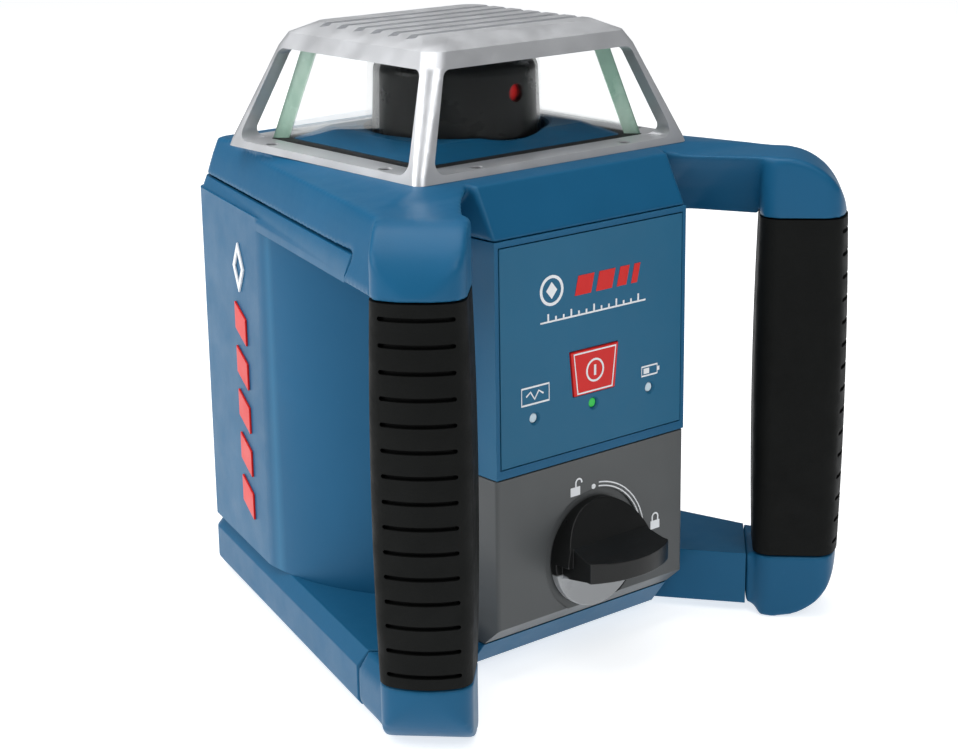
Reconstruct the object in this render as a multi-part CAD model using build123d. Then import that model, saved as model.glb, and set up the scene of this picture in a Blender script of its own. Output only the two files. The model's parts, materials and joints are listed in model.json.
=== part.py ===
from build123d import *
import os
from math import cos, hypot, pi, sin, sqrt

# Self-levelling rotating laser level with two carrying handles.
# Millimetres. +Z up, the control panel faces -Y, +X is to the right of someone facing it.
# The origin is on the rotor's upright axis, in the plane that the instrument stands on.

# Outline seen from above: a trapezoid that widens towards the two front handles.
BACK_Y = 80.0
BACK_HALF_X = 44.5
SIDE_SLOPE = 0.278
SIDE_COS = 1 / hypot(1, SIDE_SLOPE)
CORNER_R = 7.0

# Heights of the three housings.
FOOT_GAP = 3.0
BASE_TOP = 20.0
DECK_BOTTOM = 128.0
SHELL_SIDE_TOP = 130.0
SEAM_Z = 136.0
DECK_EDGE_Z = 148.0
DECK_TOP = 150.4
WALL = 3.0
SEAM = 0.6
LIP = 5.0
LIP_GAP = 0.1

# Front module: control panel above, battery drawer below.
MODULE_HALF_X = 38.0
MODULE_Y = -62.0
MODULE_BACK_Y = -33.0
MODULE_TOP = 134.4
DRAWER_TOP = 64.3
DRAWER_BOTTOM = 17.6
DRAWER_BACK_Y = -48.0
SEAL_Y = -46.8
PANEL_HALF_X = 36.2
PANEL_Z = (67.3, 132.4)
PANEL_THICK = 2.4

# Push button, wider at its top, and the three lights on the panel.
BUTTON_Z = (83.7, 97.4)
BUTTON_HALF_X = (8.2, 9.6)
BUTTON_Y = (-62.6, -59.0)
LED_PLACES = [(0.0, 80.2), (-23.3, 80.3), (23.3, 80.3)]
LED_R = 1.5
LED_Y = (-61.3, -57.6)

# Space in the body that the drawer's tray slides in.
BAY_HALF_X = 36.6
BAY_Z = (20.6, 62.4)
BAY_BACK_Y = 22.4
BAY_WALL = 1.8

# Barrel-shaped middle housing.
BARREL_START = (60.0, 24.0)
BARREL_MID = (59.6, 5.0)
BARREL_END = (38.0, -33.0)

# Handles: upright grips on the two front corners, turned 45 degrees.
HANDLE_X = 74.8
HANDLE_Y = -75.4
HANDLE_W = 25.8
HANDLE_FACE_S = HANDLE_W / 2 + 0.8
HANDLE_R = 6.0
HANDLE_SEAM_S = -15.0
KNUCKLE_R = 20.0
FOOT_ARC = (21.0, 18.5)
CORE_W = 17.0
TENON = 8.0
GRIP_Z = (20.8, 129.6)
GRIP_BELLY = 0.9
GRIP_FACE_R = 24.8
GRIP_FACE_S = HANDLE_W / 2 + 1.2
GROOVES = 15
GROOVE_Z = (25.0, 125.1)
GROOVE_SIZE = (20.6, 1.3)
GROOVE_DEPTH = 1.6

# Protective cage, windows and skirt round the rotor.
CAGE_BASE = (106.4, 96.0)
CAGE_LEDGE = (105.2, 94.8)
LEDGE_Z = 152.5
CAGE_SHOULDER = (81.6, 78.0)
CAGE_SHOULDER_Z = 181.0
CAGE_BROW = (77.0, 73.4)
CAGE_BROW_Z = 185.0
CAGE_ROOF = (64.0, 60.4)
ROOF_Z = 188.2
ROOF_UNDER_Z = 182.0
ROOF_RIBS = 6
ROOF_RIB_PITCH = 8.4
CAGE_CORNERS = (3.2, 5.5)
HOLLOW_BASE = (87.4, 75.6)
HOLLOW_SHOULDER = (73.0, 61.2)
WINDOW_TOP = 180.4
POST_W = (5.2, 4.6)
CAGE_SCREW_X = 49.3
CAGE_SCREW_Y = 44.2
GLASS_THICK = 3.5
GLASS_GAP = 0.3
GLASS_MITRE = 0.15
SKIRT_BASE = (77.2, 67.2)
SKIRT_PEAK = (41.2, 31.2)
SKIRT_PEAK_Z = 161.4
SKIRT_TOP = 156.4
SKIRT_HOLE_R = 28.6

# Rotor and its bearing.
ROTOR_R = 26.0
ROTOR_TOP_R = 25.1
ROTOR_Z = (154.6, 178.4)
ROTOR_WALL = 1.8
BEAM_Z = 168.3
BEAM_ANGLE = -84.0
APERTURE_R = 2.75
SPINDLE_R = 7.95
BEARING_R = (8.0, 13.0)

# Self-levelling gimbal.
PIVOT_Z = 140.0
RING_R = (33.0, 38.0)
RING_H = 8.0
PIN_R = 2.0
RUNNING_FIT = 0.05
LEVER_X = 37.0
LEVER_Y = 44.0
SHELF_Z = 96.8
SCREW_R = 1.5

# Rotor drive.
PULLEY_Z = (127.5, 133.5)
PULLEY_R = 9.0
MOTOR_PULLEY_R = 3.0
MOTOR_Y = 24.0

# Batteries: two D cells lying side by side along Y.
CELL_R = 17.1
CELL_LENGTH = 61.5
CELL_X = 17.6
CELL_Z = 41.0
CELL_FRONT_Y = -44.0

# Lock knob on the drawer.
KNOB_Z = 33.8
KNOB_R = 17.0

# Raised marks on both sides of the body.
MARK_Y = 40.0
MARK_PROUD = 0.7
BAR_COUNT = 5
BAR_START_Z = 34.0
BAR_PITCH = 14.4
EMBLEM_Z = 113.0

# Screws: radii of the shanks.
CASE_SCREW_R = 1.3
HANDLE_SCREW_R = 2.0
CHASSIS_SCREW_R = 1.55

# Tripod thread 5/8"-11, drawn as a plain hole at its minor diameter.
THREAD_R = 6.7
THREAD_DEPTH = 14.0


def side_x(y, inset=0.0):
    """Half width between the side planes at depth y, each moved inwards by inset."""
    return BACK_HALF_X + SIDE_SLOPE * (BACK_Y - y) - inset / SIDE_COS


def both_halves(points):
    """Close a right-hand outline with its mirror image."""
    return points + [(-x, y) for x, y in reversed(points)]


def outline(points, z=0.0):
    """Symmetric face at height z; the first point of its right half is a rounded back corner."""
    face = Polygon(*both_halves(points), align=None)
    corners = [v for v in face.vertices() if v.Y > points[0][1] - 0.01]
    return Pos(0, 0, z) * fillet(corners, CORNER_R)


def raised(face, height):
    return extrude(face, height, dir=(0, 0, 1))


def slab(points, z0, z1):
    return raised(outline(points, z0), z1 - z0)


def box_between(x0, x1, y0, y1, z0, z1):
    centre = Pos((x0 + x1) / 2, (y0 + y1) / 2, (z0 + z1) / 2)
    return centre * Box(x1 - x0, y1 - y0, z1 - z0)


def drum(r, z0, z1, x=0.0, y=0.0):
    """Upright cylinder."""
    return Pos(x, y, (z0 + z1) / 2) * Cylinder(r, z1 - z0)


def tube(r_out, r_in, z0, z1, x=0.0, y=0.0):
    return drum(r_out, z0, z1, x, y) - drum(r_in, z0 - 1, z1 + 1, x, y)


def rod_x(r, x0, x1, y, z):
    return Pos((x0 + x1) / 2, y, z) * Rot(0, 90, 0) * Cylinder(r, x1 - x0)


def rod_y(r, x, y0, y1, z):
    return Pos(x, (y0 + y1) / 2, z) * Rot(90, 0, 0) * Cylinder(r, y1 - y0)


def side_profile(points, half_x):
    """Extrude a (y, z) outline across X, from -half_x to +half_x."""
    face = Plane.YZ * Polygon(*points, align=None)
    return extrude(face, half_x, both=True)


def front_profile(points, y0, y1):
    """Extrude an (x, z) outline along Y."""
    face = Plane.XZ.offset(-y0) * Polygon(*points, align=None)
    return extrude(face, y1 - y0, dir=(0, 1, 0))


def mirrored(shape):
    return mirror(shape, about=Plane.YZ)


def pair(shape):
    return shape + mirrored(shape)


def on_handle(shape):
    """Place a shape drawn in handle axes: local +X points out of the right front corner."""
    return Pos(HANDLE_X, HANDLE_Y, 0) * Rot(0, 0, -45) * shape


# Housings ---------------------------------------------------------------------------------

def deck_points(inset, reach):
    """Upper deck outline; reach is 0 at the underside of its arms and 1 at their top edge."""
    low = [(70.0, -70.0), (57.5, -46.0), (50.0, -38.0), (38.0, -33.0)]
    high = [(64.0, -81.4), (55.0, -70.0), (46.5, -59.4), (38.0, -50.0)]
    front = [(a + (c - a) * reach, b + (d - b) * reach) for (a, b), (c, d) in zip(low, high)]
    back_y = BACK_Y - inset
    return [(side_x(back_y, inset), back_y), (side_x(-73, inset), -73.0)] + front


def upper_deck():
    """The whole upper deck with both arms, from the arms' underside to the deck's edge."""
    levels = [(DECK_BOTTOM, 0.0, 0.0), (SHELL_SIDE_TOP, 0.0, 0.05), (SEAM_Z, 1.9, 0.3),
              (DECK_EDGE_Z - 5, 3.8, 0.68), (DECK_EDGE_Z, 5.4, 1.0)]
    return loft([outline(deck_points(inset, reach), z) for z, inset, reach in levels], ruled=True)


def arm_cores(grow):
    """Arms below the seam without their outer lip, which belong to the top housing."""
    block = slab(deck_points(LIP - grow, 1.3), DECK_BOTTOM - 1, SEAM_Z + grow)
    inner = MODULE_HALF_X + LIP_GAP - grow
    arms = pair(box_between(inner, 100, -100, -30 + grow, DECK_BOTTOM - 1, SEAM_Z + 1))
    return (block & arms) - barrel(-LIP_GAP, 100, 150)


def lower_deck():
    """The whole base slab with both lower arms."""
    def points(inset):
        back_y = BACK_Y - inset
        ends = [(side_x(back_y, inset), back_y), (side_x(-73, inset), -73.0)]
        return ends + [(61.5, -75.5), (40.0, -46.6)]
    levels = [(FOOT_GAP, 1.0), (FOOT_GAP + 1.5, 0.0), (BASE_TOP - 5, 0.0), (BASE_TOP, 3.0)]
    return loft([outline(points(inset), z) for z, inset in levels], ruled=True)


def handle_side(z0, z1):
    """Everything outboard of the seam between the housings and the right handle."""
    block = Pos(HANDLE_SEAM_S + 50, 0, (z0 + z1) / 2) * Box(100, 120, z1 - z0)
    return on_handle(block)


def barrel(inset, z0, z1):
    """Barrel-shaped middle of the housing, with all its walls moved inwards by inset."""
    back_y = BACK_Y - inset
    start = (side_x(BARREL_START[1], inset), BARREL_START[1])
    mid = (BARREL_MID[0] - inset, BARREL_MID[1])
    end = (BARREL_END[0] - inset, BARREL_END[1])
    back = Line((-side_x(back_y, inset), back_y), (side_x(back_y, inset), back_y))
    right = [Line(back @ 1, start), ThreePointArc(start, mid, end)]
    left = [mirror(edge, about=Plane.YZ) for edge in right]
    face = make_face([back, *right, Line((-end[0], end[1]), end), *left])
    corners = [v for v in face.vertices() if v.Y > back_y - 0.01]
    return raised(Pos(0, 0, z0) * fillet(corners, CORNER_R - inset / 2), z1 - z0)


def module_block(z0, z1, inset=0.0):
    """Box of the front module, reaching back into the barrel."""
    half = MODULE_HALF_X - inset
    return box_between(-half, half, MODULE_Y + inset, MODULE_BACK_Y + 6, z0, z1)


def gimbal_well():
    """Room in which the gimbal ring tilts."""
    return drum(RING_R[1] + 3, 130, 160)


def seam_cutter():
    """Thin ring that leaves a visible parting line between top housing and body."""
    wide = slab(deck_points(-3.0, 0.9), SEAM_Z - SEAM / 2, SEAM_Z + SEAM / 2)
    return wide - slab(deck_points(4.2, 1.0), SEAM_Z - 1, SEAM_Z + 1)


def upper_knuckle():
    """End of the right arm, which turns down over the top of the grip."""
    out = HANDLE_FACE_S
    centre = (out - KNUCKLE_R, DECK_EDGE_Z - KNUCKLE_R)
    turn = KNUCKLE_R * cos(pi / 4)
    arc = ThreePointArc((out, centre[1]), (centre[0] + turn, centre[1] + turn), (centre[0], DECK_EDGE_Z))
    view = knuckle_profile([(centre[0], DECK_EDGE_Z), (-30, DECK_EDGE_Z), (-30, 120), (out, 120),
                            (out, centre[1])], arc)
    end = on_handle(raised(Pos(0, 0, GRIP_Z[1]) * handle_section(HANDLE_W, out, HANDLE_R), 30))
    grip_room = Pos(0, 0, 120) * raised(handle_section(HANDLE_W + 0.6, GRIP_FACE_S + 0.3, 5), GRIP_Z[1] - 120)
    end += (upper_deck() & handle_side(120, 160)) - on_handle(grip_room)
    return end & on_handle(view)


def top_housing():
    facet = side_profile([(MODULE_Y, MODULE_TOP), (-54.0, 149.3), (-48.0, DECK_TOP),
                          (-30.0, DECK_TOP), (-30.0, MODULE_TOP)], MODULE_HALF_X)
    cage_x, cage_y = CAGE_BASE[0] / 2, CAGE_BASE[1] / 2
    low = [(40.0, 73.5), (75.5, -56.0)]
    high = [(cage_x, cage_y), (cage_x, -cage_y)]
    roof = loft([Pos(0, 0, z) * Polygon(*both_halves(p), align=None)
                 for p, z in ((low, DECK_EDGE_Z), (high, DECK_TOP))], ruled=True)
    roof = roof & slab(deck_points(5.4, 1.0), DECK_EDGE_Z - 1, DECK_TOP + 1)
    above_seam = box_between(-100, 100, -100, 100, SEAM_Z, 200)
    above_module = box_between(-MODULE_HALF_X, MODULE_HALF_X, -70, MODULE_BACK_Y, MODULE_TOP, SEAM_Z + 1)
    deck = (upper_deck() + roof) - pair(handle_side(120, 160))
    body = (deck + facet) & (above_seam + above_module + arm_cores(0.0))
    body += pair(upper_knuckle())
    room = box_between(-48, 48, -44, 64, SEAM_Z - 6, DECK_TOP - WALL)
    room = room & slab(deck_points(5.4 + WALL, 0.0), SEAM_Z - 7, DECK_TOP)
    room += box_between(-34, 34, -56, -40, MODULE_TOP + WALL, 145)
    seams = seam_cutter() - module_block(100, 160)
    pocket = on_handle(Pos(0, 0, GRIP_Z[1] - 1) * raised(core_section(0.1), TENON + 1.1))
    body = body - room - gimbal_well() - seams - pair(pocket)
    for x, y in housing_screw_places():
        body += tube(4.0, CASE_SCREW_R, SEAM_Z, DECK_TOP - WALL, x, y)
    for x, y in cage_screw_places():
        body -= drum(CASE_SCREW_R, 140, 160, x, y)
    return body


def body_shell():
    outer = barrel(0.0, BASE_TOP, DECK_BOTTOM + 4) + module_block(DRAWER_TOP, MODULE_TOP)
    outer += box_between(-MODULE_HALF_X, MODULE_HALF_X, SEAL_Y, -28, BASE_TOP, DRAWER_TOP)
    inner = barrel(WALL, BASE_TOP - 1, SEAM_Z + 1)
    flange = upper_deck() & box_between(-100, 100, -100, 100, 0, SEAM_Z)
    flange = flange - pair(handle_side(120, 160)) - module_block(100, MODULE_TOP + 20)
    flange = flange - box_between(-MODULE_HALF_X, MODULE_HALF_X, -70, MODULE_BACK_Y, MODULE_TOP, 140)
    flange = flange - arm_cores(LIP_GAP)
    inside = MODULE_HALF_X - WALL
    room = box_between(-inside, inside, MODULE_Y + 5.4, -28, DRAWER_TOP + WALL, MODULE_TOP - 1.5)
    mouth = box_between(-BAY_HALF_X, BAY_HALF_X, -60, -28, *BAY_Z)
    recess = box_between(-PANEL_HALF_X - 0.35, PANEL_HALF_X + 0.35, -70, MODULE_Y + 2.6,
                         PANEL_Z[0] - 0.35, PANEL_Z[1] + 0.35)
    window = box_between(-32, 32, -70, -50, PANEL_Z[0] + 4, PANEL_Z[1] - 4)
    body = outer + flange - inner - room - mouth - recess - window - seam_cutter() - gimbal_well()
    for x, y in housing_screw_places():
        rib = box_between(x - 1.2, x + 1.2, y + 3, BACK_Y - 2, BASE_TOP, SEAM_Z - 4)
        body += rib + tube(4.5, 1.6, BASE_TOP, SEAM_Z, x, y)
    return body


def base_housing():
    slab_all = lower_deck() - pair(handle_side(-5, 25))
    slab_all -= box_between(-38.3, 38.3, -62, DRAWER_BACK_Y, 11.5, 30)
    strip = side_profile([(-44, FOOT_GAP), (-49, FOOT_GAP), (-55.3, 11.3), (-44, 11.3)], MODULE_HALF_X)
    room = barrel(6.0, FOOT_GAP + WALL, BASE_TOP + 1)
    room -= drum(19.0, 0, 20)
    boss = drum(17.0, 0, 16)
    body = slab_all + strip - room + boss
    body -= drum(11.0, -1, THREAD_DEPTH)
    body -= drum(8.0, -1, 30)
    for x, y in rear_foot_places():
        body -= drum(4.0, 2, 5, x, y)
    return body


def housing_screw_places():
    return [(-36.0, 62.0), (36.0, 62.0)]


def rear_foot_places():
    return [(-34.0, 66.0), (34.0, 66.0)]


def rear_feet():
    feet = [drum(7.5, 0, FOOT_GAP, x, y) + drum(3.95, FOOT_GAP, 4.9, x, y)
            for x, y in rear_foot_places()]
    return Compound(feet)


def tripod_insert():
    return drum(10.98, 0, THREAD_DEPTH) - drum(THREAD_R, -1, THREAD_DEPTH + 1)


# Handles ----------------------------------------------------------------------------------

def handle_section(width, face_s, corner_r):
    """Rounded square whose outward side is an arc reaching out to face_s."""
    wide = face_s + width / 2 + 1
    square = Pos(wide / 2 - width / 2, 0) * Rectangle(wide, width)
    face = square & (Pos(face_s - GRIP_FACE_R, 0) * Circle(GRIP_FACE_R))
    return fillet(face.vertices(), corner_r)


def knuckle_profile(outline_points, arc):
    """Extrude an (s, z) side view of the handle across its width."""
    edges = [Polyline(*outline_points), arc]
    face = Plane.XZ * make_face(edges)
    return extrude(face, 60, both=True)


def core_section(grow=0.0):
    return RectangleRounded(CORE_W + 2 * grow, CORE_W + 2 * grow, 4)


def handle_frame():
    """Right-hand handle: the lower knuckle with the arm's end, and the core that the grip sits on."""
    out = HANDLE_FACE_S
    along, up = FOOT_ARC
    foot_s = out - along
    arc = ThreePointArc((foot_s, 0), (foot_s + along * sin(pi / 4), up - up * cos(pi / 4)), (out, up))
    view = knuckle_profile([(out, up), (out, 30), (-30, 30), (-30, FOOT_GAP), (-12.5, FOOT_GAP),
                            (-10.5, 0), (foot_s, 0)], arc)
    lower = on_handle(raised(handle_section(HANDLE_W, out, HANDLE_R), GRIP_Z[0]))
    lower += lower_deck() & (Pos(SEAM / 3, 0, 0) * handle_side(-5, 25))
    socket = Pos(0, 0, GRIP_Z[0]) * handle_section(HANDLE_W + 0.6, GRIP_FACE_S + 0.3, 5)
    lower = (lower - on_handle(raised(socket, 10))) & on_handle(view)
    core = Pos(0, 0, GRIP_Z[0] - 5) * raised(core_section(), GRIP_Z[1] + TENON + 5 - GRIP_Z[0])
    return lower + on_handle(core)


def grip():
    """Ribbed rubber sleeve with a slight belly at mid height."""
    def section(z, grow, sink):
        width = HANDLE_W + 2 * grow - 2 * sink
        return Pos(0, 0, z) * handle_section(width, GRIP_FACE_S + grow - sink, HANDLE_R - sink / 2)

    def sleeve(sink):
        mid = sum(GRIP_Z) / 2
        ends = ((GRIP_Z[0] + 0.4, 0.0), (mid, GRIP_BELLY), (GRIP_Z[1] - 0.4, 0.0))
        return loft([section(z, grow, sink) for z, grow in ends])

    body = sleeve(0.0)
    length, height = GROOVE_SIZE
    slot = Plane.YZ * SlotOverall(length, height)
    pitch = (GROOVE_Z[1] - GROOVE_Z[0]) / (GROOVES - 1)
    cutters = [Pos(4, 0, GROOVE_Z[0] + pitch * i) * extrude(slot, 20, dir=(1, 0, 0)) for i in range(GROOVES)]
    body -= Compound(cutters) - sleeve(GROOVE_DEPTH)
    body -= Pos(0, 0, 10) * raised(core_section(), 130)
    return on_handle(body)


# Control panel ----------------------------------------------------------------------------

def button_outline(grow):
    z0, z1 = BUTTON_Z
    low, high = BUTTON_HALF_X
    return [(-low - grow, z0 - grow), (low + grow, z0 - grow),
            (high + grow, z1 + grow), (-high - grow, z1 + grow)]


def front_panel():
    z0, z1 = PANEL_Z
    y0 = MODULE_Y - 0.1
    plate = box_between(-PANEL_HALF_X, PANEL_HALF_X, y0, y0 + PANEL_THICK, z0, z1)
    plate -= front_profile(button_outline(0.2), -70, -50)
    for x, z in LED_PLACES:
        plate -= rod_y(LED_R + 0.05, x, -70, -50, z)
        plate -= Pos(x, y0, z) * Rot(-90, 0, 0) * Cone(2.6, 1.55, 1.2)
    return plate


def power_button():
    cap = front_profile(button_outline(0.0), BUTTON_Y[0], BUTTON_Y[1])
    rim = front_profile(button_outline(1.2), BUTTON_Y[1] - 0.2, BUTTON_Y[1] + 0.8)
    return cap + rim


def status_led(x, z):
    return rod_y(LED_R, x, LED_Y[0], LED_Y[1], z) + rod_y(2.2, x, LED_Y[1] - 1, LED_Y[1], z)


def panel_board():
    board = box_between(-31, 31, -56.6, -55.2, 72, 127)
    switch = box_between(-3, 3, -57.1, -56.6, 87, 93)
    return board + switch


# Battery drawer ---------------------------------------------------------------------------

def battery_drawer():
    front = side_profile([(DRAWER_BACK_Y, DRAWER_BOTTOM - 5.8), (-55.5, DRAWER_BOTTOM - 5.8),
                          (MODULE_Y, DRAWER_BOTTOM), (MODULE_Y, DRAWER_TOP - 0.4),
                          (DRAWER_BACK_Y - 0.3, DRAWER_TOP - 0.4)], MODULE_HALF_X)
    front = fillet(front.edges().filter_by(Axis.Z), 1.2)
    dish = Pos(0, MODULE_Y, KNOB_Z) * Rot(90, 0, 0) * Cylinder(KNOB_R + 2.4, 1.6)
    pocket = box_between(-20, 20, -58, -50.5, KNOB_Z - 14, KNOB_Z + 18)
    front = front - dish - pocket - rod_y(5.05, 0, -70, -50, KNOB_Z)
    tray = box_between(-36, 36, DRAWER_BACK_Y - 1, 20, 21.2, 52)
    for x in (-CELL_X, CELL_X):
        tray -= rod_y(CELL_R + 0.25, x, CELL_FRONT_Y - 0.6, 18.1, CELL_Z)
        tray -= box_between(x - CELL_R - 0.2, x + CELL_R + 0.2, CELL_FRONT_Y - 0.6, 18.1, CELL_Z, 60)
    return front + tray


def cell(x):
    body = rod_y(CELL_R, x, CELL_FRONT_Y, CELL_FRONT_Y + CELL_LENGTH - 1.6, CELL_Z)
    body = fillet(body.edges(), 1.2)
    tip = rod_y(4.75, x, CELL_FRONT_Y + CELL_LENGTH - 1.7, CELL_FRONT_Y + CELL_LENGTH, CELL_Z)
    return body + tip


def battery_cells():
    return pair(cell(CELL_X))


def battery_bay():
    """Fixed sleeve that the drawer's tray slides in."""
    half = BAY_HALF_X + BAY_WALL
    outer = box_between(-half, half, -28, 25, BASE_TOP, 65)
    inner = box_between(-BAY_HALF_X, BAY_HALF_X, -60, BAY_BACK_Y, *BAY_Z)
    return outer - inner


def battery_contacts():
    faces = (CELL_FRONT_Y - 0.6, CELL_FRONT_Y + CELL_LENGTH)
    return Compound([box_between(x - 7, x + 7, y, y + 0.6, CELL_Z - 7, CELL_Z + 7)
                     for x in (-CELL_X, CELL_X) for y in faces])


def drawer_seal():
    outer = box_between(-37.6, 37.6, DRAWER_BACK_Y, SEAL_Y - 0.1, BASE_TOP + 0.2, 63.2)
    return outer - box_between(-36.1, 36.1, -60, -40, 21.1, 61.8)


def lock_knob():
    y0 = MODULE_Y
    disc = rod_y(KNOB_R, 0, y0 - 2.0, y0 + 0.5, KNOB_Z)
    dome = side_profile([(y0, KNOB_Z), (y0 - 7.5, KNOB_Z), (y0 - 7.5, KNOB_Z + 5.2),
                         (y0 - 2.0, KNOB_Z + KNOB_R), (y0, KNOB_Z + KNOB_R)], 30)
    dome = dome & rod_y(KNOB_R, 0, y0 - 10, y0, KNOB_Z)
    under = [(y0, KNOB_Z - 5.8), (y0 - 4, KNOB_Z - 4.6), (-76, KNOB_Z - 2.6), (-84, KNOB_Z - 2.3)]
    over = [(-84, KNOB_Z + 3.4), (-76, KNOB_Z + 3.9), (y0 - 6, KNOB_Z + 6.2), (y0, KNOB_Z + 6.5)]
    bar_side = side_profile(under + over, 30)
    front_arc = ThreePointArc((-16.0, -78.0), (0, -83.0), (16.0, -78.0))
    sides = Polyline((16.0, -78.0), (14.2, y0), (-14.2, y0), (-16.0, -78.0))
    bar = raised(Pos(0, 0, 20) * make_face([front_arc, sides]), 30) & bar_side
    spindle = rod_y(5.0, 0, y0, -52.0, KNOB_Z)
    return disc + dome + bar + spindle


def lock_cam():
    """Cam bar on the knob's spindle, inside the drawer front."""
    bar = box_between(-4.6, 4.6, -56.4, -53.6, KNOB_Z - 6, KNOB_Z + 12)
    return bar + rod_y(7, 0, -56.4, -53.6, KNOB_Z) - rod_y(5.0, 0, -60, -50, KNOB_Z)


# Cage, windows and skirt ------------------------------------------------------------------

def frustum(low, z0, high, z1, low_r, high_r):
    faces = [Pos(0, 0, z) * RectangleRounded(size[0], size[1], r)
             for size, z, r in ((low, z0, low_r), (high, z1, high_r))]
    return loft(faces, ruled=True)


def shrunk(size, amount):
    return (size[0] - 2 * amount, size[1] - 2 * amount)


def cage_hollow(amount):
    """Space inside the cage's sloping walls, moved inwards by amount."""
    low, high = shrunk(HOLLOW_BASE, amount), shrunk(HOLLOW_SHOULDER, amount)
    return frustum(low, LEDGE_Z, high, CAGE_SHOULDER_Z, 1.5, 1.5)


def cage_screw_places():
    x, y = CAGE_SCREW_X, CAGE_SCREW_Y
    rows = [(29.0, y), (29.0, -y), (x, 28.0), (x, -28.0)]
    return [(sign * a, b) for a, b in rows for sign in (-1, 1)]


def window_cutter(bottom_half, top_half, along_x):
    corners = [(-bottom_half, LEDGE_Z), (bottom_half, LEDGE_Z),
               (top_half, WINDOW_TOP), (-top_half, WINDOW_TOP)]
    face = fillet(Polygon(*corners, align=None).vertices(), 3.0)
    plane = Plane.XZ if along_x else Plane.YZ
    return extrude(plane * face, 80, both=True)


def cage():
    low_r, high_r = CAGE_CORNERS
    flange = frustum(CAGE_BASE, DECK_TOP, CAGE_LEDGE, LEDGE_Z, low_r, low_r)
    sides = frustum(CAGE_LEDGE, LEDGE_Z, CAGE_SHOULDER, CAGE_SHOULDER_Z, low_r, high_r)
    brow = frustum(CAGE_SHOULDER, CAGE_SHOULDER_Z, CAGE_BROW, CAGE_BROW_Z, high_r, high_r)
    roof = frustum(CAGE_BROW, CAGE_BROW_Z, CAGE_ROOF, ROOF_Z, high_r, high_r)
    half_low = (CAGE_LEDGE[0] / 2 - POST_W[0], CAGE_LEDGE[1] / 2 - POST_W[0])
    half_high = (CAGE_SHOULDER[0] / 2 - POST_W[1], CAGE_SHOULDER[1] / 2 - POST_W[1])
    body = flange + sides + brow + roof
    body -= window_cutter(half_low[0], half_high[0], True)
    body -= window_cutter(half_low[1], half_high[1], False)
    body -= cage_hollow(0.0)
    body -= Pos(0, 0, DECK_TOP - 1) * extrude(RectangleRounded(*HOLLOW_BASE, 1.5), LEDGE_Z - DECK_TOP + 1.1)
    body -= Pos(0, 0, CAGE_SHOULDER_Z - 0.1) * extrude(
        RectangleRounded(*HOLLOW_SHOULDER, 1.5), ROOF_UNDER_Z - CAGE_SHOULDER_Z + 0.1)
    for i in range(ROOF_RIBS):
        y = ROOF_RIB_PITCH * (i - (ROOF_RIBS - 1) / 2)
        body -= box_between(-40, 40, y - 1.7, y + 1.7, ROOF_Z - 1.1, ROOF_Z + 1)
    for x, y in cage_screw_places():
        body -= drum(1.5, 140, 160, x, y) + drum(2.1, LEDGE_Z - 1.2, 160, x, y)
    return body


def cage_screws():
    screws = []
    seat_z = LEDGE_Z - 1.2
    for x, y in cage_screw_places():
        head = drum(2.0, seat_z, seat_z + 0.8, x, y) + drum(1.25, 143, seat_z, x, y)
        screws.append(head - drum(1.1, seat_z + 0.3, seat_z + 1, x, y))
    return Compound(screws)


def window_pane(side):
    """One glass pane: side counts quarter turns from the front."""
    glass = cage_hollow(GLASS_GAP) - cage_hollow(GLASS_GAP + GLASS_THICK)
    glass = glass & box_between(-60, 60, -60, 60, LEDGE_Z + 0.1, CAGE_SHOULDER_Z - 0.2)
    reach = HOLLOW_BASE if side % 2 == 0 else HOLLOW_BASE[::-1]
    depth = reach[1] / 2 - reach[0] / 2
    corners = [(0, -depth - GLASS_MITRE), (reach[0], -depth - reach[0] - GLASS_MITRE),
               (-reach[0], -depth - reach[0] - GLASS_MITRE)]
    wedge = raised(Pos(0, 0, 140) * Polygon(*corners, align=None), 60)
    return glass & (Rot(0, 0, 90 * side) * wedge)


def window_gasket():
    ring = RectangleRounded(*shrunk(HOLLOW_BASE, 0.1), 1.5) - RectangleRounded(*shrunk(SKIRT_BASE, -0.1), 3)
    return raised(Pos(0, 0, DECK_TOP) * ring, LEDGE_Z + 0.05 - DECK_TOP)


def rotor_skirt():
    slopes = frustum(SKIRT_BASE, LEDGE_Z, SKIRT_PEAK, SKIRT_PEAK_Z, 3.0, 3.0)
    outer = slopes + Pos(0, 0, DECK_TOP) * extrude(RectangleRounded(*SKIRT_BASE, 3.0), LEDGE_Z - DECK_TOP)
    outer = outer & box_between(-60, 60, -60, 60, 140, SKIRT_TOP)
    inner = frustum(shrunk(SKIRT_BASE, 2.5), DECK_TOP, shrunk(SKIRT_PEAK, 2.5), SKIRT_PEAK_Z - 2.1, 3.0, 3.0)
    collar = drum(SKIRT_HOLE_R + 2.0, LEDGE_Z, SKIRT_TOP) & slopes
    return outer - inner + collar - drum(SKIRT_HOLE_R, 130, 170)


# Rotor ------------------------------------------------------------------------------------

def rotor_cap():
    z0, z1 = ROTOR_Z
    height = z1 - z0
    solid = Pos(0, 0, (z0 + z1) / 2) * Cone(ROTOR_R, ROTOR_TOP_R, height)
    solid = fillet(solid.edges().sort_by(Axis.Z)[-1], 5.0)
    body = solid - drum(ROTOR_TOP_R - ROTOR_WALL, z0 + 3.4, z1 - 2.2) - drum(22.2, z0 - 1, z0 + 4)
    bore = Pos(22, 0, 0) * Rot(0, 90, 0) * Cylinder(APERTURE_R, 12)
    return body - Pos(0, 0, BEAM_Z) * Rot(0, 0, BEAM_ANGLE) * bore


def aperture_window():
    disc = Pos(22.8, 0, 0) * Rot(0, 90, 0) * Cylinder(4.4, 1.0)
    return Pos(0, 0, BEAM_Z) * Rot(0, 0, BEAM_ANGLE) * (disc & Cylinder(ROTOR_TOP_R - ROTOR_WALL - 0.05, 20))


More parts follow.
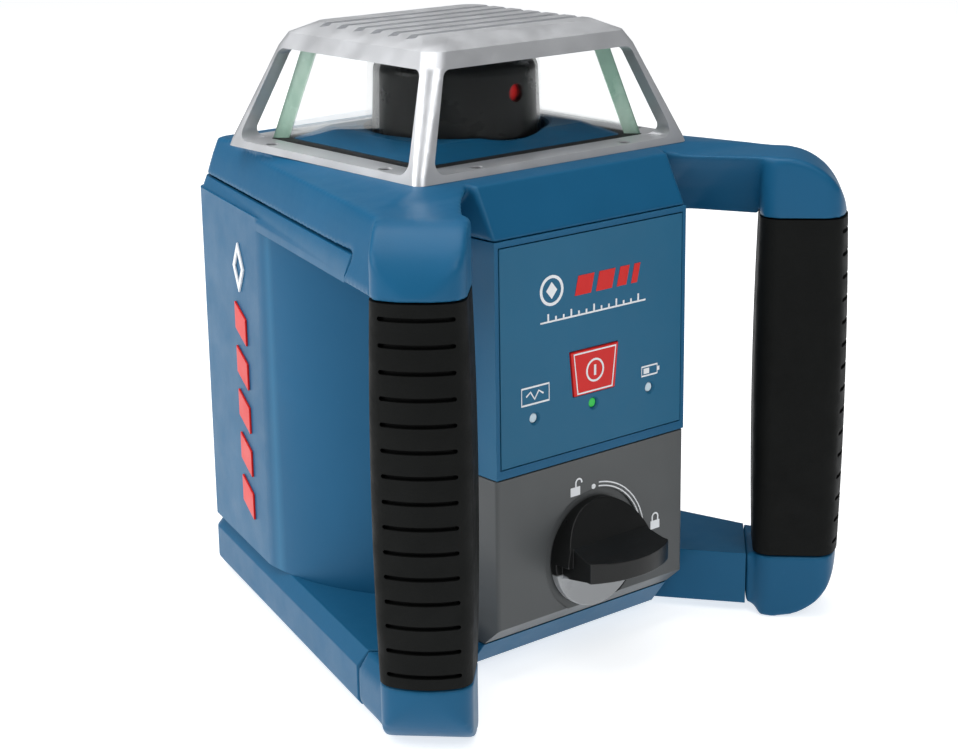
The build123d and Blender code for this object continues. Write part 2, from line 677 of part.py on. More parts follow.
def rotor_hub():
    """Hollow spindle with the turntable that carries cap and prism."""
    body = drum(SPINDLE_R, 127.0, 156.6) + drum(22.0, 156.6, 159.0)
    return body - drum(5.0, 120, 170)


def prism_holder():
    body = drum(12.0, 159.0, 160.4)
    body += box_between(-9.5, 9.5, 7.2, 9.2, 160.4, 174) + box_between(-9.5, -7.6, -7.0, 7.2, 160.4, 174)
    body += box_between(7.6, 9.5, -7.0, 7.2, 160.4, 174)
    return Rot(0, 0, BEAM_ANGLE + 90) * (body - drum(5.0, 150, 170))


def pentaprism():
    """Five-sided prism that turns the upright beam by exactly 90 degrees."""
    size = 12.0
    cut = size * (sqrt(2) - 1)
    y0, z0 = -6.6, 161.0
    points = [(y0, z0), (y0 + size, z0), (y0 + size, z0 + cut),
              (y0 + cut, z0 + size), (y0, z0 + size)]
    return Rot(0, 0, BEAM_ANGLE + 90) * side_profile(points, 7.0)


def rotor_bearings():
    rings = [tube(BEARING_R[1], BEARING_R[0], z, z + 4) for z in (143.5, 150.5)]
    return Compound(rings)


def driven_pulley():
    body = drum(PULLEY_R + 1.4, PULLEY_Z[0], PULLEY_Z[1])
    groove = tube(PULLEY_R + 3, PULLEY_R, PULLEY_Z[0] + 1.2, PULLEY_Z[1] - 1.2)
    return body - groove - drum(SPINDLE_R, 120, 140)


def motor_pulley():
    z0, z1 = PULLEY_Z
    body = drum(MOTOR_PULLEY_R + 1.4, z0, z1, 0, MOTOR_Y)
    body -= tube(MOTOR_PULLEY_R + 3, MOTOR_PULLEY_R, z0 + 1.2, z1 - 1.2, 0, MOTOR_Y)
    return body + drum(1.0, 119.0, z1, 0, MOTOR_Y)


def drive_belt():
    """Flat belt round both pulleys, with its two straight runs tangent to them."""
    def loop(grow):
        big, small = PULLEY_R + grow, MOTOR_PULLEY_R + grow
        lean = (big - small) / MOTOR_Y
        rise = sqrt(1 - lean * lean)
        a, b = (big * rise, big * lean), (small * rise, MOTOR_Y + small * lean)
        runs = Polygon(a, b, (-b[0], b[1]), (-a[0], a[1]), align=None)
        return runs + Circle(big) + Pos(0, MOTOR_Y) * Circle(small)
    z0, z1 = PULLEY_Z[0] + 1.6, PULLEY_Z[1] - 1.6
    return raised(Pos(0, 0, z0) * (loop(0.95) - loop(0.2)), z1 - z0)


def spin_motor():
    body = drum(9.0, 96.0, 117.6, 0, MOTOR_Y)
    body = fillet(body.edges(), 1.0) + drum(3.0, 117.0, 118.4, 0, MOTOR_Y)
    return body - drum(1.1, 117.5, 120, 0, MOTOR_Y)


# Laser unit -------------------------------------------------------------------------------

def laser_carrier():
    """Casting that carries laser, bearing seat and drive motor; it tilts as one piece."""
    seat = tube(18.0, BEARING_R[1], 136.5, 155.0) + tube(30.0, 17.0, 136.5, 143.5)
    bosses = rod_y(5.0, 0, -31.5, 31.5, PIVOT_Z) - drum(17.5, 120, 160)
    neck = tube(17.5, 14.0, 118.0, 137.0) & box_between(-20, 20, -20, 3, 110, 140)
    deck = drum(30.0, 118.0, 121.0) & box_between(-30, 30, -28, 20, 110, 130)
    deck += box_between(-12, 12, 12, 34.5, 118.0, 121.0)
    barrel_tube = drum(14.0, 84.0, 119.0)
    arm = box_between(12, LEVER_X + 1.5, -4, 4, 108, 111)
    body = seat + bosses + neck + deck + barrel_tube + arm
    body -= drum(10.0, 80, 118.5)
    body -= drum(5.0, 110, 125)
    body -= drum(3.05, 110, 125, 0, MOTOR_Y)
    return body - rod_y(PIN_R + RUNNING_FIT, 0, -40, 40, PIVOT_Z) - drum(13.0, 136, 160)


def collimator_lens():
    lens = (Pos(0, 0, 112.5 - 22) * Sphere(24)) & (Pos(0, 0, 107.5 + 22) * Sphere(24))
    return lens & drum(9.9, 100, 120)


def laser_diode():
    return drum(9.9, 85.0, 95.0) + drum(4.5, 95.0, 97.5) + drum(7.0, 80.0, 85.0)


def level_vials():
    across = rod_x(2.6, -11, 11, -24.0, 123.6)
    along = rod_y(2.6, -24.0, -10, 12, 123.6)
    return Compound([across, along])


def gimbal_ring():
    z0, z1 = PIVOT_Z - RING_H / 2, PIVOT_Z + RING_H / 2
    body = tube(RING_R[1], RING_R[0], z0, z1)
    body += box_between(-4, 4, RING_R[1] - 1, LEVER_Y + 2.5, z0, z0 + 3)
    body -= rod_x(PIN_R + RUNNING_FIT, -50, 50, 0, PIVOT_Z)
    return body - rod_y(PIN_R, 0, -50, 39, PIVOT_Z)


def carrier_pins():
    """Pins along Y, fixed in the ring; the laser carrier turns on them."""
    return Compound([rod_y(PIN_R, 0, y0, y0 + 15, PIVOT_Z) for y0 in (-37.8, 22.8)])


def ring_pins():
    """Pins along X, fixed in the chassis lugs; the ring turns on them."""
    return Compound([rod_x(PIN_R, x0, x0 + 12, 0, PIVOT_Z) for x0 in (-45.6, 33.6)])


def chassis():
    """Aluminium bridge inside the body that carries gimbal and levelling drives."""
    plate = box_between(-60, 60, -40, 56, 122.0, 126.0) & barrel(WALL + 0.5, 100, 130)
    plate -= drum(36.0, 120, 130)
    lugs = pair(box_between(39.2, 45.8, -6, 6, 124.0, 144.5))
    plate -= box_between(-14, 14, 20, 40, 120, 130)
    shelf = box_between(36.2, 52.6, -6, 6, SHELF_Z, SHELF_Z + 2.5)
    shelf += box_between(50.2, 52.6, -6, 6, SHELF_Z, 124.0)
    body = plate + lugs + shelf
    body -= rod_x(PIN_R, -50, 50, 0, PIVOT_Z)
    for x, y, z in ((LEVER_X + 7, 0, SHELF_Z), (0, LEVER_Y + 6.5, 122)):
        body -= drum(SCREW_R + 0.3, z - 2, z + 6, x, y)
    for x, y in chassis_screw_places():
        body -= drum(CHASSIS_SCREW_R + 0.05, 110, 130, x, y)
    return body


def chassis_screw_places():
    return [(-34, 48), (34, 48), (-42, 26), (42, 26)]


def chassis_screws():
    return Compound([drum(CHASSIS_SCREW_R, 118, 126, x, y) + drum(3.0, 126, 128.2, x, y)
                     for x, y in chassis_screw_places()])


def levelling_motor(x, y, z_top):
    body = drum(7.5, z_top - 20, z_top, x, y)
    return fillet(body.edges(), 0.8) - drum(SCREW_R + 0.3, z_top - 4, z_top + 1, x, y)


def levelling_screw(x, y, z0, z1):
    return drum(SCREW_R, z0, z1, x, y)


def levelling_nut_x():
    x = LEVER_X + 7
    block = box_between(x - 3.5, x + 3.5, -4, 4, 103.0, 106.5)
    finger = box_between(LEVER_X - 2, x - 3, -1.5, 1.5, 104.0, 107.4)
    return block + finger - drum(SCREW_R + RUNNING_FIT, 90, 120, x, 0)


def levelling_nut_y():
    y = LEVER_Y + 6.5
    block = box_between(-4, 4, y - 3.5, y + 3.5, 130.4, 134.5)
    finger = box_between(-1.5, 1.5, LEVER_Y - 2, y - 3, 131.6, 135.4)
    return block + finger - drum(SCREW_R + RUNNING_FIT, 120, 145, 0, y)


def main_board():
    board = box_between(-34, 34, 68.0, 69.6, 30, 112)
    chips = [box_between(x, x + w, 66.2, 68.0, z, z + h)
             for x, z, w, h in ((-28, 84, 14, 14), (-4, 88, 10, 8), (14, 70, 16, 20), (-22, 44, 12, 24))]
    for chip in chips:
        board += chip
    return board


# Marks and fasteners ----------------------------------------------------------------------

def on_side(shape):
    """Place a shape on the right side plane: local X runs backwards, Y up, Z outwards."""
    plane = Plane(origin=(side_x(MARK_Y), MARK_Y, 0),
                  x_dir=(-SIDE_SLOPE * SIDE_COS, SIDE_COS, 0), z_dir=(SIDE_COS, SIDE_SLOPE * SIDE_COS, 0))
    return plane.location * shape


def side_bars():
    """Row of slanted bars along the side of the body."""
    bars = []
    for i in range(BAR_COUNT):
        z = BAR_START_Z + BAR_PITCH * i
        points = [(-5.0, z - 3.0), (5.0, z + 1.0), (5.0, z + 9.6), (-5.0, z + 5.6)]
        bars.append(raised(Polygon(*points, align=None), MARK_PROUD))
    return on_side(Compound(bars))


def side_emblem():
    """Upright lozenge ring above the bars."""
    outer = Pos(0, EMBLEM_Z) * Polygon((-5.0, 0), (0, -8.0), (5.0, 0), (0, 8.0), align=None)
    inner = Pos(0, EMBLEM_Z) * Polygon((-3.2, 0), (0, -5.2), (3.2, 0), (0, 5.2), align=None)
    return on_side(raised(outer - inner, MARK_PROUD))


def rear_label():
    return box_between(-30, 30, BACK_Y, BACK_Y + 0.4, 44, 104)


def handle_screws():
    """Cross screw through the core's top end, and the screw that holds the foot on the base."""
    turn = Rot(0, 90, 0)
    upper = on_handle(Pos(0, 0, GRIP_Z[1] + TENON / 2) * turn * Cylinder(HANDLE_SCREW_R, CORE_W + 4))
    lower = on_handle(Pos(HANDLE_SEAM_S, 0, 9.5) * turn * Cylinder(HANDLE_SCREW_R, 16))
    return Compound([upper, lower])


def housing_screws():
    return Compound([drum(CASE_SCREW_R, 112, 146, x, y) for x, y in housing_screw_places()])


def build():
    right_screws = handle_screws()
    all_screws = pair(right_screws)
    deck_part = top_housing() - all_screws
    base_part = base_housing() - all_screws
    shell_part = body_shell()
    right_frame = handle_frame() - right_screws
    right_grip = grip()
    lever_x, lever_y = LEVER_X + 7, LEVER_Y + 6.5
    nodes = {
        "top_housing": deck_part,
        "body_shell": shell_part,
        "base_housing": base_part,
        "handle_frame_right": right_frame,
        "handle_frame_left": mirrored(right_frame),
        "grip_right": right_grip,
        "grip_left": mirrored(right_grip),
        "handle_screws": all_screws,
        "housing_screws": housing_screws(),
        "tripod_insert": tripod_insert(),
        "rear_feet": rear_feet(),
        "rear_label": rear_label(),
        "side_bars": pair(side_bars()),
        "side_emblems": pair(side_emblem()),
        "front_panel": front_panel(),
        "power_button": power_button(),
        "power_led": status_led(*LED_PLACES[0]),
        "shock_led": status_led(*LED_PLACES[1]),
        "battery_led": status_led(*LED_PLACES[2]),
        "panel_board": panel_board(),
        "main_board": main_board(),
        "battery_drawer": battery_drawer(),
        "battery_cells": battery_cells(),
        "battery_bay": battery_bay(),
        "battery_contacts": battery_contacts(),
        "drawer_seal": drawer_seal(),
        "lock_knob": lock_knob(),
        "lock_cam": lock_cam(),
        "cage": cage(),
        "cage_screws": cage_screws(),
        "window_front": window_pane(0),
        "window_right": window_pane(1),
        "window_back": window_pane(2),
        "window_left": window_pane(3),
        "window_gasket": window_gasket(),
        "rotor_skirt": rotor_skirt(),
        "rotor_cap": rotor_cap(),
        "aperture_window": aperture_window(),
        "rotor_hub": rotor_hub(),
        "prism_holder": prism_holder(),
        "pentaprism": pentaprism(),
        "rotor_bearings": rotor_bearings(),
        "driven_pulley": driven_pulley(),
        "drive_belt": drive_belt(),
        "motor_pulley": motor_pulley(),
        "spin_motor": spin_motor(),
        "laser_carrier": laser_carrier(),
        "collimator_lens": collimator_lens(),
        "laser_diode": laser_diode(),
        "level_vials": level_vials(),
        "gimbal_ring": gimbal_ring(),
        "carrier_pins": carrier_pins(),
        "ring_pins": ring_pins(),
        "chassis": chassis(),
        "chassis_screws": chassis_screws(),
        "levelling_motors": Compound([levelling_motor(lever_x, 0, SHELF_Z - 0.1),
                                      levelling_motor(0, lever_y, 121.9)]),
        "levelling_screw_x": levelling_screw(lever_x, 0, SHELF_Z - 3, 113.0),
        "levelling_screw_y": levelling_screw(0, lever_y, 119.0, 143.0),
        "levelling_nut_x": levelling_nut_x(),
        "levelling_nut_y": levelling_nut_y(),
    }
    return nodes


def main():
    os.makedirs("parts", exist_ok=True)
    for name, shape in build().items():
        export_step(shape, f"parts/{name}.step")


main()
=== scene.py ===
import json
import math

import bmesh
import bpy
from mathutils import Matrix, Vector


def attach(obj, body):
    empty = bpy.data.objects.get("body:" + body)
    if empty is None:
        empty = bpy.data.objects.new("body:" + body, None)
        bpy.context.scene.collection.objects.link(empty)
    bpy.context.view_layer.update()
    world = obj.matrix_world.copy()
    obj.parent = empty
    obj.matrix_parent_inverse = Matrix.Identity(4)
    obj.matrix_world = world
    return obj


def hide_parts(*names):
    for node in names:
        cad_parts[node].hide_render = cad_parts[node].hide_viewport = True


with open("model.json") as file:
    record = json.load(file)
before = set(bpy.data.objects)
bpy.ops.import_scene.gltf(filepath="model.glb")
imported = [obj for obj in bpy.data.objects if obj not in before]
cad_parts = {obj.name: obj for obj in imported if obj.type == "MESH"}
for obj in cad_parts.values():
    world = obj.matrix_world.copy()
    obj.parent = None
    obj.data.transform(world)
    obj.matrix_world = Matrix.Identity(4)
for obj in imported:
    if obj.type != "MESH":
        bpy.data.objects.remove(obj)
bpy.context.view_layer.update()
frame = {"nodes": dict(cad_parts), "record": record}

# Looks of the rotating laser level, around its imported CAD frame. Metres, Z up, the panel faces -Y.

MM = 0.001
nodes = frame["nodes"]
slot_of = {row["node"]: row["material_slot"] for row in frame["record"]["subparts"]}
body_members = frame["record"]["behaviour"]["bodies"]
body_of = {node: body for body, members in body_members.items() for node in members}


# Camera, light and floor --------------------------------------------------------------------

CAMERA_AT = (-0.41216, -0.50330, 0.26486)
CAMERA_YAW = 39.83
CAMERA_PITCH = 16.22
CAMERA_ROLL = -0.84
CAMERA_LENS = 79.82
SENSOR_WIDTH = 36.0
CLIP_START = 0.01
LIGHT_AIM = (0, 0, 0.09)
WORLD_COLOUR = (0.96, 0.98, 1.0, 1)
WORLD_STRENGTH = 0.17
FLOOR_SIZE = 6.0
FLOOR_GLOW = 0.74


def add_camera():
    yaw, pitch, roll = (math.radians(a) for a in (CAMERA_YAW, CAMERA_PITCH, CAMERA_ROLL))
    ahead = Vector((math.sin(yaw) * math.cos(pitch), math.cos(yaw) * math.cos(pitch), -math.sin(pitch)))
    right = Vector((math.cos(yaw), -math.sin(yaw), 0))
    up = right.cross(ahead)
    level_right, level_up = right, up
    right = level_right * math.cos(roll) + level_up * math.sin(roll)
    up = level_up * math.cos(roll) - level_right * math.sin(roll)
    data = bpy.data.cameras.new("camera")
    data.lens = CAMERA_LENS
    data.sensor_width = SENSOR_WIDTH
    data.clip_start = CLIP_START
    camera = bpy.data.objects.new("camera", data)
    turn = Matrix((right, up, -ahead)).transposed().to_4x4()
    camera.matrix_world = Matrix.Translation(CAMERA_AT) @ turn
    bpy.context.scene.collection.objects.link(camera)
    bpy.context.scene.camera = camera


def area_light(name, place, size, power):
    """Square softbox that looks at the middle of the object."""
    data = bpy.data.lights.new(name, "AREA")
    data.shape = "SQUARE"
    data.size = size
    data.energy = power
    light = bpy.data.objects.new(name, data)
    light.location = place
    light.rotation_euler = (Vector(LIGHT_AIM) - Vector(place)).to_track_quat("-Z", "Y").to_euler()
    bpy.context.scene.collection.objects.link(light)


def add_lights():
    area_light("key", (-0.30, -1.0, 1.15), 0.7, 6.5)
    area_light("left", (-1.2, 0.45, 0.8), 1.0, 12.0)
    area_light("top", (-0.1, 0.3, 1.6), 1.5, 24.0)
    world = bpy.data.worlds.new("studio")
    world.use_nodes = True
    backdrop = world.node_tree.nodes["Background"]
    backdrop.inputs["Color"].default_value = WORLD_COLOUR
    backdrop.inputs["Strength"].default_value = WORLD_STRENGTH
    bpy.context.scene.world = world
    bpy.context.scene.view_settings.view_transform = "Standard"


def add_floor():
    mesh = bpy.data.meshes.new("floor")
    half = FLOOR_SIZE / 2
    corners = [(-half, -half, 0), (half, -half, 0), (half, half, 0), (-half, half, 0)]
    mesh.from_pydata(corners, [], [(0, 1, 2, 3)])
    floor = bpy.data.objects.new("floor", mesh)
    bpy.context.scene.collection.objects.link(floor)
    shader = Finish("floor_paper", (0.62, 0.62, 0.62), 0.9, specular=0.1)
    shader.mottle(3.0, 0.02)
    shader.shader.inputs["Emission Color"].default_value = (0.97, 0.985, 1.0, 1)
    shader.shader.inputs["Emission Strength"].default_value = FLOOR_GLOW
    floor.data.materials.append(shader.material)


# Materials ----------------------------------------------------------------------------------

COAT_ROUGHNESS = 0.25


class Finish:
    """A procedural material, built up from layers of noise over the object's own coordinates."""

    def __init__(self, name, colour, rough, metallic=0.0, specular=0.5, coat=0.0):
        self.material = bpy.data.materials.new(name)
        self.material.use_nodes = True
        self.tree = self.material.node_tree
        self.shader = self.tree.nodes["Principled BSDF"]
        self.colour = colour
        self.rough = rough
        sockets = self.shader.inputs
        sockets["Base Color"].default_value = (*colour, 1)
        sockets["Roughness"].default_value = rough
        sockets["Metallic"].default_value = metallic
        sockets["Specular IOR Level"].default_value = specular
        sockets["Coat Weight"].default_value = coat
        sockets["Coat Roughness"].default_value = COAT_ROUGHNESS
        self.place = self.tree.nodes.new("ShaderNodeTexCoord").outputs["Object"]
        self.colour_out = None
        self.normal_out = None

    def noise(self, scale, detail=3.0, stretch=None, rough=0.55):
        source = self.place
        if stretch:
            mapping = self.tree.nodes.new("ShaderNodeMapping")
            mapping.inputs["Scale"].default_value = stretch
            self.tree.links.new(source, mapping.inputs["Vector"])
            source = mapping.outputs["Vector"]
        node = self.tree.nodes.new("ShaderNodeTexNoise")
        node.inputs["Scale"].default_value = scale
        node.inputs["Detail"].default_value = detail
        node.inputs["Roughness"].default_value = rough
        self.tree.links.new(source, node.inputs["Vector"])
        return node.outputs["Fac"]

    def ranged(self, value, low, high, out_low=0.0, out_high=1.0):
        node = self.tree.nodes.new("ShaderNodeMapRange")
        limits = {"From Min": low, "From Max": high, "To Min": out_low, "To Max": out_high}
        for socket, number in limits.items():
            node.inputs[socket].default_value = number
        self.tree.links.new(value, node.inputs["Value"])
        return node.outputs["Result"]

    def tint(self, factor, colour):
        """Blend towards colour where factor is 1."""
        node = self.tree.nodes.new("ShaderNodeMix")
        node.data_type = "RGBA"
        self.tree.links.new(factor, node.inputs["Factor"])
        if self.colour_out is None:
            node.inputs["A"].default_value = (*self.colour, 1)
        else:
            self.tree.links.new(self.colour_out, node.inputs["A"])
        node.inputs["B"].default_value = (*colour, 1)
        self.colour_out = node.outputs["Result"]
        self.tree.links.new(self.colour_out, self.shader.inputs["Base Color"])
        return self

    def mottle(self, scale, amount):
        """Slow drift of the colour, darker and lighter by amount."""
        dark = tuple(c * (1 - amount) for c in self.colour)
        light = tuple(min(c * (1 + amount), 1) for c in self.colour)
        self.tint(self.ranged(self.noise(scale), 0.35, 0.5, 1.0, 0.0), dark)
        return self.tint(self.ranged(self.noise(scale * 1.7), 0.5, 0.7), light)

    def uneven_gloss(self, scale, amount, stretch=None):
        low, high = self.rough - amount, self.rough + amount
        value = self.ranged(self.noise(scale, 4.0, stretch), 0.3, 0.7, low, high)
        self.tree.links.new(value, self.shader.inputs["Roughness"])
        return self

    def grain(self, size, depth):
        """Moulded or blasted grain, depth metres deep, whose pits are about size metres across."""
        height = self.noise(0.5 / size, 2.0)
        node = self.tree.nodes.new("ShaderNodeBump")
        node.inputs["Distance"].default_value = depth
        node.inputs["Strength"].default_value = 1.0
        self.tree.links.new(height, node.inputs["Height"])
        if self.normal_out is not None:
            self.tree.links.new(self.normal_out, node.inputs["Normal"])
        self.normal_out = node.outputs["Normal"]
        self.tree.links.new(self.normal_out, self.shader.inputs["Normal"])
        return self

    def scuffs(self, scale, share, colour):
        """Sparse rubbed patches; share is the part of the surface that they cover."""
        patches = self.ranged(self.noise(scale, 6.0, rough=0.7), 0.72 - share, 0.76, 0.0, 0.5)
        return self.tint(patches, colour)

    def painted_edge_highlight(self, colour, low=0.52, high=0.62, amount=0.6):
        """Painted highlight on the edges, lighter where the surface is most curved, from the curvature of
        the surface.
        """
        geometry = self.tree.nodes.new("ShaderNodeNewGeometry")
        return self.tint(self.ranged(geometry.outputs["Pointiness"], low, high, 0.0, amount), colour)


def glass(name, colour, rough, ior, alpha):
    shader = Finish(name, colour, rough)
    shader.shader.inputs["Transmission Weight"].default_value = 1.0
    shader.shader.inputs["IOR"].default_value = ior
    shader.shader.inputs["Alpha"].default_value = alpha
    return shader.mottle(40, 0.03).uneven_gloss(60, rough * 0.6).material


def glass_edge():
    """Sawn pane edges, where the glass shows its own green."""
    shader = Finish("glass_edge", (0.24, 0.45, 0.34), 0.22, coat=0.5)
    pale = shader.ranged(shader.noise(55, 4.0, (1, 1, 0.4)), 0.45, 0.62, 0.0, 0.8)
    shader.tint(pale, (0.55, 0.74, 0.62))
    dark = shader.ranged(shader.noise(140, 3.0, (1, 1, 0.35)), 0.60, 0.66, 0.0, 0.7)
    shader.tint(dark, (0.06, 0.26, 0.15))
    return shader.uneven_gloss(200, 0.1).grain(0.0009, 0.00004).material


# Painted reflection on the lower part of the knob's disc: the heights and the depth of disc face over
# which it fades in.
KNOB_REFLECTION_Z = (30.2 * MM, 29.6 * MM)
KNOB_DISC_Y = (-67.5 * MM, -66.5 * MM)


def knob_plastic():
    """Black knob whose disc, behind its raised bar, carries a painted light-grey reflection on the lower
    part.
    """
    shader = Finish("knob_plastic", (0.009, 0.0095, 0.0095), 0.34, specular=0.25)
    shader.mottle(20, 0.12)
    # Mask for the painted light-grey reflection: low on the knob and on the disc face.
    place = shader.tree.nodes.new("ShaderNodeSeparateXYZ")
    shader.tree.links.new(shader.place, place.inputs["Vector"])
    low = shader.ranged(place.outputs["Z"], *KNOB_REFLECTION_Z)
    disc = shader.ranged(place.outputs["Y"], *KNOB_DISC_Y)
    painted_reflection = shader.tree.nodes.new("ShaderNodeMath")
    painted_reflection.operation = "MULTIPLY"
    shader.tree.links.new(low, painted_reflection.inputs[0])
    shader.tree.links.new(disc, painted_reflection.inputs[1])
    shader.tint(painted_reflection.outputs["Value"], (0.36, 0.37, 0.38))
    # Darker random scuffs, then a painted pale highlight along the knob's rims.
    shader.scuffs(150, 0.02, (0.06, 0.06, 0.062)).painted_edge_highlight((0.30, 0.31, 0.32), 0.54, 0.64)
    return shader.uneven_gloss(90, 0.07).grain(0.0003, 0.00002).material


def plastic(name, colour, rough, grain=0.00035, depth=0.00002, edge_highlight=None, specular=0.22):
    shader = Finish(name, colour, rough, specular=specular)
    shader.mottle(14, 0.05)
    shader.uneven_gloss(90, 0.05)
    shader.scuffs(160, 0.02, tuple(min(c * 1.5 + 0.02, 1) for c in colour))
    # Optional painted highlight on the curved edges, in the given colour.
    if edge_highlight:
        shader.painted_edge_highlight(edge_highlight)
    return shader.grain(grain, depth).material


def metal(name, colour, rough, stretch=None):
    shader = Finish(name, colour, rough, metallic=1.0)
    shader.mottle(25, 0.06)
    shader.uneven_gloss(400, 0.08, stretch)
    return shader.grain(0.0003, 0.000008).material


def grip_rubber():
    shader = Finish("grip_rubber", (0.0055, 0.0060, 0.0057), 0.6, specular=0.08)
    shader.mottle(22, 0.18).uneven_gloss(150, 0.09).scuffs(120, 0.02, (0.022, 0.022, 0.021))
    return shader.grain(0.0006, 0.00005).grain(0.00018, 0.00002).material


def cast_silver():
    shader = Finish("cast_silver", (0.62, 0.63, 0.65), 0.40, metallic=0.7)
    shader.mottle(16, 0.04).uneven_gloss(120, 0.07).scuffs(90, 0.015, (0.42, 0.43, 0.45))
    return shader.grain(0.0004, 0.00002).material


def panel_film():
    shader = Finish("panel_film", (0.0150, 0.115, 0.215), 0.42, specular=0.18)
    return shader.mottle(10, 0.03).uneven_gloss(220, 0.05).grain(0.00022, 0.00001).material


def circuit_board():
    shader = Finish("circuit_board", (0.01, 0.10, 0.03), 0.4)
    return shader.mottle(120, 0.25).uneven_gloss(200, 0.1).grain(0.0008, 0.00003).material


def seal_rubber():
    shader = Finish("seal_rubber", (0.008, 0.008, 0.008), 0.7)
    return shader.mottle(60, 0.2).uneven_gloss(200, 0.08).grain(0.0004, 0.00003).material


def label_film():
    shader = Finish("label_film", (0.55, 0.57, 0.6), 0.35)
    return shader.mottle(30, 0.03).uneven_gloss(120, 0.06).grain(0.0005, 0.000006).material


def make_materials():
    """Every material by the name of its slot or of its own use."""
    blue = (0.0085, 0.092, 0.195)
    seal = seal_rubber()
    return {
        # The blue's lighter edges are a painted highlight.
        "blue_plastic": plastic("blue_plastic", blue, 0.40, edge_highlight=(0.035, 0.17, 0.30), specular=0.15),
        "panel_film": panel_film(),
        "grip_rubber": grip_rubber(),
        "grey_plastic": plastic("grey_plastic", (0.085, 0.090, 0.092), 0.36, grain=0.0003),
        "black_plastic": plastic("black_plastic", (0.009, 0.0095, 0.0095), 0.42, grain=0.0003,
                                 depth=0.000025),
        "cast_silver": cast_silver(),
        "glass": glass("glass", (0.97, 1.0, 0.985), 0.01, 1.06, 0.25),
        "optic_glass": glass("optic_glass", (0.95, 0.97, 1.0), 0.01, 1.5, 0.8),
        "glass_edge": glass_edge(),
        "knob_plastic": knob_plastic(),
        "drum_plastic": plastic("drum_plastic", (0.010, 0.011, 0.011), 0.30, grain=0.0003, depth=0.00001),
        "aperture_red": plastic("aperture_red", (0.80, 0.03, 0.03), 0.2, grain=0.0004, depth=0.000005),
        "aluminium": metal("aluminium", (0.62, 0.63, 0.65), 0.32),
        "steel": metal("steel", (0.55, 0.55, 0.56), 0.28, (1, 1, 12)),
        "dark_steel": metal("dark_steel", (0.07, 0.07, 0.075), 0.4),
        "brass": metal("brass", (0.72, 0.52, 0.22), 0.3, (1, 1, 10)),
        "red_plastic": plastic("red_plastic", (0.60, 0.012, 0.010), 0.33, grain=0.0003, depth=0.00001),
        "white_plastic": plastic("white_plastic", (0.78, 0.80, 0.82), 0.4, grain=0.0003, depth=0.00001),
        "green_led": plastic("green_led", (0.03, 0.55, 0.08), 0.15, grain=0.0005, depth=0.000004),
        "clear_led": plastic("clear_led", (0.55, 0.68, 0.75), 0.15, grain=0.0005, depth=0.000004),
        "seal_rubber": seal,
        "belt_rubber": seal,
        "circuit_board": circuit_board(),
        "cell_wrap": plastic("cell_wrap", (0.06, 0.06, 0.07), 0.25, grain=0.0006, depth=0.000006),
        "label_film": label_film(),
    }


OWN_MATERIAL = {
    "lock_knob": "knob_plastic",
    "rotor_cap": "drum_plastic",
    "aperture_window": "aperture_red",
    "cage_screws": "dark_steel",
}


# Meshes -------------------------------------------------------------------------------------

MERGE_GAP = 0.002 * MM
FLAT_ANGLE = math.radians(0.5)
BEVEL_STEPS = 3
BEVEL_FROM = math.radians(28)
SHARP_FROM = math.radians(38)
BROAD_FACE = 0.85
VOXEL = 0.75 * MM
EVEN_FACTOR = 0.5
EVEN_PASSES = 3
MELT_FACTOR = 0.6
MELT_PASSES = 22
THIN_ANGLE = math.radians(0.6)
HANDLE_AT = (74.8 * MM, -75.4 * MM)
CORNER_REACH = 40 * MM
CORNER_FADE = 14 * MM
EVEN_WEIGHT = 0.12
GRIP_TOP_Z = 131.0 * MM
GRIP_BOTTOM_Z = 19.0 * MM
EDGE_FADE = 3 * MM


def link(name, mesh, body, material):
    piece = bpy.data.objects.new(name, mesh)
    bpy.context.scene.collection.objects.link(piece)
    mesh.materials.clear()
    mesh.materials.append(material)
    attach(piece, body)
    return piece


def baked(piece):
    """Replace the piece's mesh with what its modifiers make."""
    bpy.context.view_layer.update()
    graph = bpy.context.evaluated_depsgraph_get()
    mesh = bpy.data.meshes.new_from_object(piece.evaluated_get(graph))
    piece.modifiers.clear()
    piece.data = mesh


def look_of(node):
    """The material that a CAD node is drawn in."""
    return materials[OWN_MATERIAL.get(node, slot_of[node])]


def cleaned(node):
    """A copy of a CAD node's mesh with its points merged and its flat faces whole."""
    mesh = nodes[node].data.copy()
    shape = bmesh.new()
    shape.from_mesh(mesh)
    bmesh.ops.remove_doubles(shape, verts=shape.verts, dist=MERGE_GAP)
    bmesh.ops.dissolve_limit(shape, angle_limit=FLAT_ANGLE, verts=shape.verts, edges=shape.edges)
    shape.to_mesh(mesh)
    shape.free()
    return mesh


def softened(node, radius):
    """A copy of a CAD node with its sharp edges rounded to radius, which stands for the node."""
    piece = link(node + "_skin", cleaned(node), body_of[node], look_of(node))
    bevel = piece.modifiers.new("edges", "BEVEL")
    bevel.width = radius
    bevel.segments = BEVEL_STEPS
    bevel.limit_method = "ANGLE"
    bevel.angle_limit = BEVEL_FROM
    bevel.use_clamp_overlap = True
    baked(piece)
    piece.data.shade_smooth()
    piece.data.set_sharp_from_angle(angle=SHARP_FROM)
    weights = piece.modifiers.new("normals", "WEIGHTED_NORMAL")
    weights.keep_sharp = True
    baked(piece)
    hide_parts(node)


def corner_weight(place):
    """1 round the two handle corners, falling to EVEN_WEIGHT on the rest of the deck."""
    gap = math.hypot(abs(place.x) - HANDLE_AT[0], place.y - HANDLE_AT[1])
    return min(max((CORNER_REACH - gap) / CORNER_FADE, EVEN_WEIGHT), 1.0)


def deck_weight(place):
    return corner_weight(place) * min(max((place.z - GRIP_TOP_Z) / EDGE_FADE, 0.0), 1.0)


def foot_weight(place):
    return min(max((GRIP_BOTTOM_Z - place.z) / EDGE_FADE, 0.0), 1.0)


